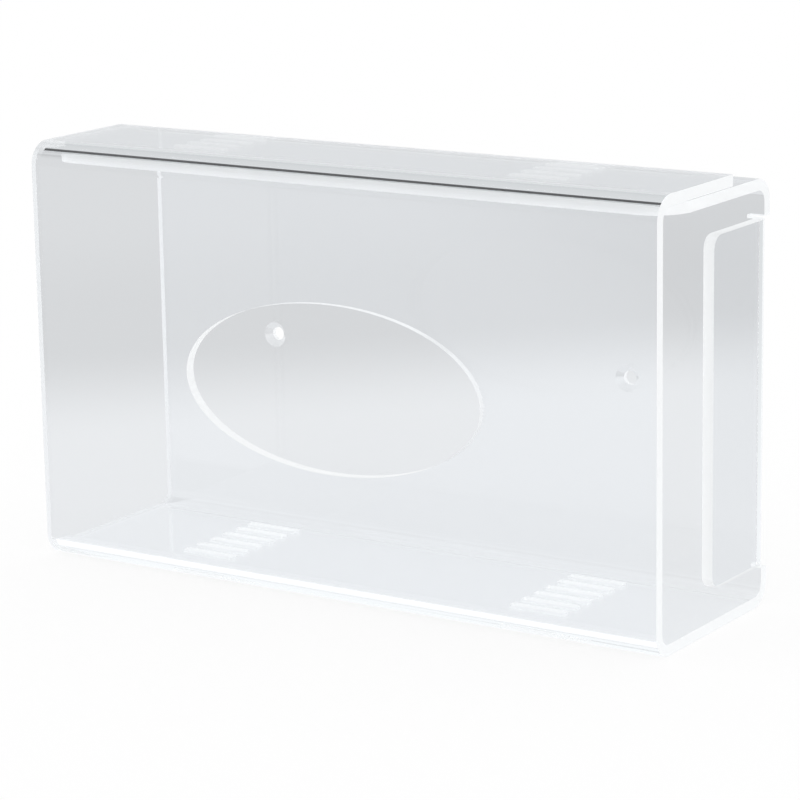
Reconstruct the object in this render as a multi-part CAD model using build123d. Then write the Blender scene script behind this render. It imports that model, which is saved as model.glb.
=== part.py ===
from build123d import *
import math
import os

# Disposable glove dispenser: one clear sheet, bent round a glove box and closed on itself.
# Millimetres, +Z up. The origin is the middle of the underside, and the front faces -Y.

# Driving dimensions of the box
width = 256.0
depth = 79.0
height = 150.0
sheet = 4.0
bend_radius = 8.5

# Seam on top: the front panel's flap lies over the end of the back panel's top
flap_reach = 52.0
under_end_gap = 6.5
under_corner = 13.0
seam_gap = 0.2
bond_width = 3.0
bond_edge = 2.0

# Oval opening in the front panel, through which the gloves are pulled
oval_width = 122.0
oval_height = 60.0

# Screw holes in the back panel, countersunk from inside
screw_spacing = 152.0
screw_bore = 5.0
screw_head = 9.4
screw_head_angle = 90.0

# Slots across the top and the bottom
slot_length = 22.0
slot_width = 3.6
slot_pitch = 8.0
slot_count = 6
slot_group_spacing = 140.0
slot_corner = 0.8
first_slot = 24.0

# Stop tab, bent forward from the right end of the back panel
tab_length = 40.0
tab_margin = 14.5
tab_corner = 5.0
tab_bend_radius = 5.0
relief_width = 1.2
relief_length = 6.5

# Places worked out from the driving dimensions
mid_radius = bend_radius - sheet / 2
tab_mid_radius = tab_bend_radius - sheet / 2
left = -width / 2
right = width / 2
front = -depth / 2
back = depth / 2
flap_base = height + seam_gap
top = flap_base + sheet
mid_front = front + sheet / 2
mid_back = back - sheet / 2
under_end = front + sheet + under_end_gap
flap_end = front + flap_reach
slot_rows = [front + first_slot + i * slot_pitch for i in range(slot_count)]
slot_groups = [-slot_group_spacing / 2, slot_group_spacing / 2]
tab_low = tab_margin
tab_high = height - tab_margin
tab_end = back - tab_length
cut_through = 4 * sheet


def folded_sheet():
    """The strip, bent at four corners, from the top's hidden end round to the flap."""
    middle_line = FilletPolyline(
        (0, under_end, height - sheet / 2),
        (0, mid_back, height - sheet / 2),
        (0, mid_back, sheet / 2),
        (0, mid_front, sheet / 2),
        (0, mid_front, flap_base + sheet / 2),
        (0, flap_end, flap_base + sheet / 2),
        radius=mid_radius,
    )
    section = Plane(middle_line @ 0, x_dir=(1, 0, 0), z_dir=middle_line % 0) * Rectangle(width, sheet)
    strip = sweep(section, path=middle_line)
    near_end = (under_end - seam_gap, under_end + seam_gap)
    corners = strip.edges().filter_by(Axis.Z).filter_by_position(Axis.Y, *near_end)
    return fillet(corners, under_corner)


def seam_bonds():
    """The two lines of cement that hold the flap on the top."""
    overlap_front = under_end + bond_edge
    overlap_back = flap_end - bond_edge - bond_width
    bond_length = width - 2 * under_corner
    bond = Box(bond_length, bond_width, seam_gap, align=(Align.CENTER, Align.MIN, Align.MIN))
    return [Pos(0, y, height) * bond for y in (overlap_front, overlap_back)]


def slots(panel_top):
    """Rows of slots through the level panel whose upper face is at this height."""
    start = Pos(0, 0, panel_top + seam_gap / 2)
    slot = extrude(RectangleRounded(slot_length, slot_width, slot_corner), -sheet - seam_gap)
    return [start * Pos(x, y, 0) * slot for x in slot_groups for y in slot_rows]


def oval_opening():
    """The oval cutter, across the front panel at mid-height."""
    oval = Ellipse(oval_width / 2, oval_height / 2)
    cutter = extrude(Plane.XZ * oval, cut_through / 2, both=True)
    return Pos(0, mid_front, top / 2) * cutter


def screw_holes():
    """Bores and countersinks in the back panel, with the heads inside."""
    head_depth = (screw_head - screw_bore) / 2 / math.tan(math.radians(screw_head_angle / 2))
    bore = Cylinder(screw_bore / 2, cut_through)
    head = Cone(screw_bore / 2, screw_head / 2, head_depth, align=(Align.CENTER, Align.CENTER, Align.MAX))
    inner_face = sheet / 2
    cutter = bore + Pos(0, 0, inner_face) * head
    facing_front = Rot(90, 0, 0) * cutter
    return [Pos(x, mid_back, height / 2) * facing_front for x in (-screw_spacing / 2, screw_spacing / 2)]


def tab_clearance():
    """What is cut away where the tab leaves the back panel, with a relief above and below."""
    corner = (Align.MAX, Align.CENTER, Align.MIN)
    bend_cut = Box(tab_bend_radius, 2 * sheet, tab_high - tab_low, align=corner)
    relief = Box(relief_length, 2 * sheet, relief_width, align=corner)
    return [
        Pos(right, mid_back, tab_low) * bend_cut,
        Pos(right, mid_back, tab_high) * relief,
        Pos(right, mid_back, tab_low - relief_width) * relief,
    ]


def stop_tab():
    """The tab, bent forward, with its two front corners rounded."""
    middle_line = FilletPolyline(
        (right - 2 * tab_bend_radius, mid_back, height / 2),
        (right - sheet / 2, mid_back, height / 2),
        (right - sheet / 2, tab_end, height / 2),
        radius=tab_mid_radius,
    )
    section = Plane(middle_line @ 0, x_dir=(0, 0, 1), z_dir=middle_line % 0)
    tab = sweep(section * Rectangle(tab_high - tab_low, sheet), path=middle_line)
    corners = tab.edges().filter_by(Axis.X).group_by(Axis.Y)[0]
    return fillet(corners, tab_corner)


def dispenser():
    body = folded_sheet() + seam_bonds()
    body = body - slots(sheet) - slots(height)
    body = body - oval_opening() - screw_holes() - tab_clearance()
    return body + stop_tab()


os.makedirs("parts", exist_ok=True)
part = dispenser()
part.label = "dispenser"
export_step(part, "parts/dispenser.step")
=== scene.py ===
import math

import bpy
from mathutils import Matrix, Vector


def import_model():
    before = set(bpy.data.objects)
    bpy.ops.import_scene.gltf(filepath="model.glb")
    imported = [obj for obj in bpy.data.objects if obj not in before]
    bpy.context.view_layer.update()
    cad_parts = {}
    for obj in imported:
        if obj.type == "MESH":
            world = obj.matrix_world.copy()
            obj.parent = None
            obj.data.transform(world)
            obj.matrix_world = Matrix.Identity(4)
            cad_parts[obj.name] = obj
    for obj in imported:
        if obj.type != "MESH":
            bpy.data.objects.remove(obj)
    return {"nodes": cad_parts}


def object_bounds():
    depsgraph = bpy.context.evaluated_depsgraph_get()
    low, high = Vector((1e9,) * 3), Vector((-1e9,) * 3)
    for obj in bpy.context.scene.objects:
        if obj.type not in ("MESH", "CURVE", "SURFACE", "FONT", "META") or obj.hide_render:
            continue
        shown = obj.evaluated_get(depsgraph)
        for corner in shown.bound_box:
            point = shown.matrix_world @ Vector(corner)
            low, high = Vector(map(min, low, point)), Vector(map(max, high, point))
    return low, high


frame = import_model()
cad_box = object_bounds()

# Photograph's frame and the camera that was solved from it (metres and degrees)
FRAME_PIXELS = 800
SENSOR_MM = 36.0
FOCAL_PIXELS = 3187.18
CAMERA_TURN = 33.4375
CAMERA_PITCH = 13.1724
CAMERA_ROLL = -0.9785
CAMERA_PLACE = Vector((0.6081841, -0.9163035, 0.3230391))
CAMERA_REACH = (0.01, 100.0)

# The folded sheet, from the frame's box and the part's own sizes (metres)
LOW, HIGH = (Vector(c) for c in cad_box)
SHEET = 0.004
BEND = 0.0085
TAB_BEND = 0.005
SEAM_GAP = 0.0002
HALF_WIDTH = HIGH.x
HEIGHT = HIGH.z - SEAM_GAP - SHEET
TAB_REACH = 0.040
CLOSE = 0.0001

# How far a face's normal leans to a side, from 0 to 1
HALF_WAY = 0.5
SLANTED = 0.35

# Acrylic. A path that the renderer would drop is shown as light piped along the sheet.
ACRYLIC_IOR = 1.49
ACRYLIC_TINT = (0.985, 0.992, 1.0, 1.0)
EDGE_TINT = (0.96, 0.975, 0.985, 1.0)
EDGE_CLARITY = 0.12
# Cut faces: a share of painted glow (emission), a little stronger inward of the outer end faces.
EDGE_PAINTED_GLOW = 0.6
EDGE_INNER_GLOW = 1.08
LONGEST_PATH = 9.5
MOST_REFLECTIONS = 3.5
PIPED_LIGHT = (0.95, 0.98, 1.0, 1.0)
PIPED_LOW = 0.98
PIPED_HIGH = 0.76

# Studio: brightness of what the sheet shows or mirrors, where the camera sees plain white
FLOOR_SIZE = 40.0
FLOOR_GAP = 0.0002
FLOOR_MATTE = 0.12
BACKDROP_UNDER = 0.95
BACKDROP_NEAR = 0.81
BACKDROP_DARK = 0.615
BACKDROP_FAR = 0.655
BACKDROP_RIGHT = 0.92
FRONT_NEAR = 1.15
FRONT_FAR = 1.2
ROOM_FRONT = 1.0
ROOM_BEHIND = 0.78
CEILING = 0.08
COOL_RED = 0.035
COOL_GREEN = 0.018

# Where those change: by direction in the room, by place on the floor (metres)
WALL_TURN = (-0.2, 0.35)
CEILING_EDGE = (0.48, 0.62)
AWAY = (-0.729, 0.685)
ALONG = (0.685, 0.729)
UNDER_FADE = (HIGH.y, HIGH.y + 0.02)
MIDDLE_FADE = (0.24, 0.43)
FAR_FADE = (0.5, 0.8)
RIGHT_FADE = (0.17, 0.32)
FRONT_FADE = (-0.45, -0.05)
MIRROR_FADE = (-0.5, -0.04)

# Counts of bounces are whole numbers: more than this is at least one
NONE = 0.5


def camera():
    """The photograph's viewpoint: to the right of the front, a little above."""
    turn, pitch, roll = (math.radians(a) for a in (CAMERA_TURN, CAMERA_PITCH, CAMERA_ROLL))
    forward = Vector(
        (-math.sin(turn) * math.cos(pitch), math.cos(turn) * math.cos(pitch), -math.sin(pitch))
    )
    level = Vector((math.cos(turn), math.sin(turn), 0.0))
    upright = level.cross(forward)
    right = level * math.cos(roll) + upright * math.sin(roll)
    up = upright * math.cos(roll) - level * math.sin(roll)
    data = bpy.data.cameras.new("camera")
    data.sensor_width = SENSOR_MM
    data.lens = FOCAL_PIXELS / FRAME_PIXELS * SENSOR_MM
    data.clip_start, data.clip_end = CAMERA_REACH
    cam = bpy.data.objects.new("camera", data)
    bpy.context.scene.collection.objects.link(cam)
    axes = Matrix((right, up, -forward)).transposed().to_4x4()
    cam.matrix_world = Matrix.Translation(CAMERA_PLACE) @ axes
    bpy.context.scene.camera = cam


class Graph:
    """Short calls for the nodes of one material or world."""

    def __init__(self, owner):
        owner.use_nodes = True
        self.nodes = owner.node_tree.nodes
        self.links = owner.node_tree.links

    def add(self, kind, **settings):
        node = self.nodes.new(kind)
        for name, value in settings.items():
            setattr(node, name, value)
        return node

    def put(self, socket, value):
        if isinstance(value, bpy.types.NodeSocket):
            self.links.new(value, socket)
        else:
            socket.default_value = value

    def math(self, operation, *values):
        node = self.add("ShaderNodeMath", operation=operation)
        for socket, value in zip(node.inputs, values):
            self.put(socket, value)
        return node.outputs[0]

    def split(self, vector):
        node = self.add("ShaderNodeSeparateXYZ")
        self.links.new(vector, node.inputs[0])
        return node.outputs

    def opposite(self, value):
        return self.math("SUBTRACT", 1.0, value)

    def both(self, first, *others):
        for other in others:
            first = self.math("MULTIPLY", first, other)
        return first

    def either(self, first, *others):
        for other in others:
            first = self.math("MAXIMUM", first, other)
        return first

    def total(self, first, *others):
        for other in others:
            first = self.math("ADD", first, other)
        return first

    def ramp(self, value, low, high, out_low=0.0, out_high=1.0):
        node = self.add("ShaderNodeMapRange", interpolation_type="SMOOTHSTEP")
        for name, number in (
            ("Value", value),
            ("From Min", low),
            ("From Max", high),
            ("To Min", out_low),
            ("To Max", out_high),
        ):
            self.put(node.inputs[name], number)
        return node.outputs["Result"]

    def mix(self, factor, first, second):
        node = self.add("ShaderNodeMixShader")
        self.put(node.inputs[0], factor)
        self.links.new(first, node.inputs[1])
        self.links.new(second, node.inputs[2])
        return node.outputs[0]


def cut_faces(g):
    """1 on the faces where the sheet was cut, 0 on its two glossy sides."""
    geometry = g.add("ShaderNodeNewGeometry")
    x, y, z = g.split(geometry.outputs["Position"])
    facing = [g.math("ABSOLUTE", side) for side in g.split(geometry.outputs["True Normal"])]
    sideways, frontways, upward = facing
    ends = g.math("GREATER_THAN", g.math("ABSOLUTE", x), HALF_WIDTH - CLOSE)
    upright = g.both(g.math("GREATER_THAN", z, BEND), g.math("LESS_THAN", z, HEIGHT - BEND))
    on_tab = g.both(
        g.math("GREATER_THAN", x, HALF_WIDTH - SHEET - CLOSE),
        g.math("GREATER_THAN", y, HIGH.y - TAB_REACH - CLOSE),
        g.math("LESS_THAN", y, HIGH.y - TAB_BEND),
        upright,
    )
    off_tab = g.opposite(on_tab)
    lying = g.both(
        g.opposite(upright),
        g.math("GREATER_THAN", y, LOW.y + BEND),
        g.math("LESS_THAN", y, HIGH.y - BEND),
    )
    return g.either(
        g.both(ends, off_tab, g.math("GREATER_THAN", sideways, HALF_WAY)),
        g.both(on_tab, g.math("LESS_THAN", sideways, HALF_WAY)),
        g.both(upright, off_tab, g.math("LESS_THAN", frontways, SLANTED)),
        g.both(lying, g.math("LESS_THAN", upward, HALF_WAY)),
    )


def cut_surface(g, place, clear):
    """A cut face: it scatters light on both sides and has a painted glow (an emission) that stands
    in for light the sheet has gathered.
    """
    matte = g.add("ShaderNodeBsdfDiffuse")
    matte.inputs["Color"].default_value = EDGE_TINT
    glow = g.add("ShaderNodeBsdfTranslucent")
    glow.inputs["Color"].default_value = EDGE_TINT
    inside = g.add("ShaderNodeNewGeometry").outputs["Backfacing"]
    # Painted glow: an emission standing in for light the sheet gathers, a little stronger inward
    # of the outer end faces.
    painted_glow = g.add("ShaderNodeEmission")
    painted_glow.inputs["Color"].default_value = EDGE_TINT
    sideways = g.math("ABSOLUTE", place["X"])
    inner = g.ramp(sideways, HALF_WIDTH - SHEET, HALF_WIDTH, EDGE_INNER_GLOW, 1.0)
    g.put(painted_glow.inputs["Strength"], inner)
    scattered = g.mix(inside, matte.outputs[0], glow.outputs[0])
    cut = g.mix(EDGE_PAINTED_GLOW, scattered, painted_glow.outputs[0])
    return g.mix(EDGE_CLARITY, cut, clear)


def acrylic():
    """Clear cast acrylic; the faces where the sheet is cut are paler, partly matte and partly a
    painted glow.
    """
    mat = bpy.data.materials.new("clear_acrylic")
    g = Graph(mat)
    principled = g.nodes["Principled BSDF"]
    principled.inputs["Base Color"].default_value = ACRYLIC_TINT
    principled.inputs["Roughness"].default_value = 0.0
    principled.inputs["IOR"].default_value = ACRYLIC_IOR
    principled.inputs["Transmission Weight"].default_value = 1.0
    clear = principled.outputs[0]
    place = g.split(g.add("ShaderNodeNewGeometry").outputs["Position"])
    surface = g.mix(cut_faces(g), clear, cut_surface(g, place, clear))
    path = g.add("ShaderNodeLightPath").outputs
    lost = g.either(
        g.math("GREATER_THAN", path["Ray Depth"], LONGEST_PATH),
        g.math("GREATER_THAN", path["Glossy Depth"], MOST_REFLECTIONS),
    )
    piped = g.add("ShaderNodeEmission")
    piped.inputs["Color"].default_value = PIPED_LIGHT
    # The painted piped light is brighter low on the sheet and dimmer near the top.
    strength = g.ramp(place["Z"], BEND * 2, HEIGHT - BEND * 2, PIPED_LOW, PIPED_HIGH)
    g.put(piped.inputs["Strength"], strength)
    out = g.nodes["Material Output"]
    g.links.new(g.mix(lost, surface, piped.outputs[0]), out.inputs["Surface"])
    return mat


def through_sheet(g):
    """1 for what is seen through the sheet or mirrored in it, 0 for anything else."""
    path = g.add("ShaderNodeLightPath").outputs
    unscattered = g.math("LESS_THAN", path["Diffuse Depth"], NONE)
    return g.both(unscattered, g.either(path["Is Glossy Ray"], path["Is Transmission Ray"]))


def cool(g):
    """White, and a slightly cool white for what is seen through the sheet."""
    colour = g.add("ShaderNodeCombineColor")
    sheet = through_sheet(g)
    for name, loss in (("Red", COOL_RED), ("Green", COOL_GREEN)):
        g.put(colour.inputs[name], g.opposite(g.math("MULTIPLY", sheet, loss)))
    colour.inputs["Blue"].default_value = 1.0
    return colour.outputs[0]


def world():
    """A white room with a dark ceiling, and a grey backdrop where the sheet shows it."""
    studio = bpy.data.worlds.new("studio")
    g = Graph(studio)
    background = g.nodes["Background"]
    direction = g.split(g.add("ShaderNodeTexCoord").outputs["Generated"])
    walls = g.ramp(direction["Y"], *WALL_TURN, ROOM_FRONT, ROOM_BEHIND)
    ceiling = g.ramp(direction["Z"], *CEILING_EDGE, ROOM_FRONT, CEILING)
    shown = g.math("MINIMUM", walls, ceiling)
    g.put(background.inputs["Strength"], g.either(shown, g.opposite(through_sheet(g))))
    g.put(background.inputs["Color"], cool(g))
    bpy.context.scene.world = studio


def across(g, place, direction):
    """How far a place on the floor lies in a level direction."""
    east, north = direction
    return g.total(g.math("MULTIPLY", place["X"], east), g.math("MULTIPLY", place["Y"], north))


def floor_behind(g, place):
    """Bright under the part, falling to grey behind it, and a little darker to the right."""
    away = across(g, place, AWAY)
    under = g.both(
        g.ramp(place["Y"], *UNDER_FADE, BACKDROP_UNDER - BACKDROP_NEAR, 0.0),
        g.math("LESS_THAN", g.math("ABSOLUTE", place["X"]), HALF_WIDTH),
    )
    middle = g.ramp(away, *MIDDLE_FADE, BACKDROP_NEAR, BACKDROP_DARK)
    far = g.ramp(away, *FAR_FADE, 0.0, BACKDROP_FAR - BACKDROP_DARK)
    right = g.ramp(across(g, place, ALONG), *RIGHT_FADE, 1.0, BACKDROP_RIGHT)
    return g.both(g.total(under, middle, far), right)


def floor_in_front(g, place):
    """Lit in front of the part where the sheet mirrors it, and falling to grey seen through it."""
    direct = g.ramp(place["Y"], *FRONT_FADE, BACKDROP_DARK, FRONT_NEAR)
    lit = g.ramp(place["Y"], *MIRROR_FADE, FRONT_FAR, FRONT_NEAR)
    path = g.add("ShaderNodeLightPath").outputs
    mirrored = g.math("GREATER_THAN", path["Glossy Depth"], NONE)
    return g.total(direct, g.both(mirrored, g.math("SUBTRACT", lit, direct)))


def floor_material():
    """White with a soft shadow to the camera, and a grey backdrop through the sheet."""
    mat = bpy.data.materials.new("floor")
    g = Graph(mat)
    g.nodes.remove(g.nodes["Principled BSDF"])
    place = g.split(g.add("ShaderNodeNewGeometry").outputs["Position"])
    inner = g.math("GREATER_THAN", place["Y"], LOW.y + BEND)
    shown = g.total(
        g.both(inner, floor_behind(g, place)),
        g.both(g.opposite(inner), floor_in_front(g, place)),
    )
    sheet = through_sheet(g)
    light = g.add("ShaderNodeEmission")
    g.put(light.inputs["Strength"], g.total(g.both(sheet, shown), g.opposite(sheet)))
    g.put(light.inputs["Color"], cool(g))
    matte = g.add("ShaderNodeBsdfDiffuse")
    matte.inputs["Color"].default_value = (1.0, 1.0, 1.0, 1.0)
    out = g.nodes["Material Output"]
    g.links.new(g.mix(FLOOR_MATTE, light.outputs[0], matte.outputs[0]), out.inputs["Surface"])
    return mat


def floor():
    """A wide level floor just under the part."""
    half = FLOOR_SIZE / 2
    mesh = bpy.data.meshes.new("floor")
    corners = [(-half, -half, 0.0), (half, -half, 0.0), (half, half, 0.0), (-half, half, 0.0)]
    mesh.from_pydata(corners, [], [(0, 1, 2, 3)])
    mesh.materials.append(floor_material())
    plane = bpy.data.objects.new("floor", mesh)
    bpy.context.scene.collection.objects.link(plane)
    plane.location.z = LOW.z - FLOOR_GAP


def main():
    bpy.context.scene.view_settings.view_transform = "Standard"
    camera()
    world()
    floor()
    mat = acrylic()
    for node in frame["nodes"].values():
        for slot in node.material_slots:
            slot.material = mat


main()
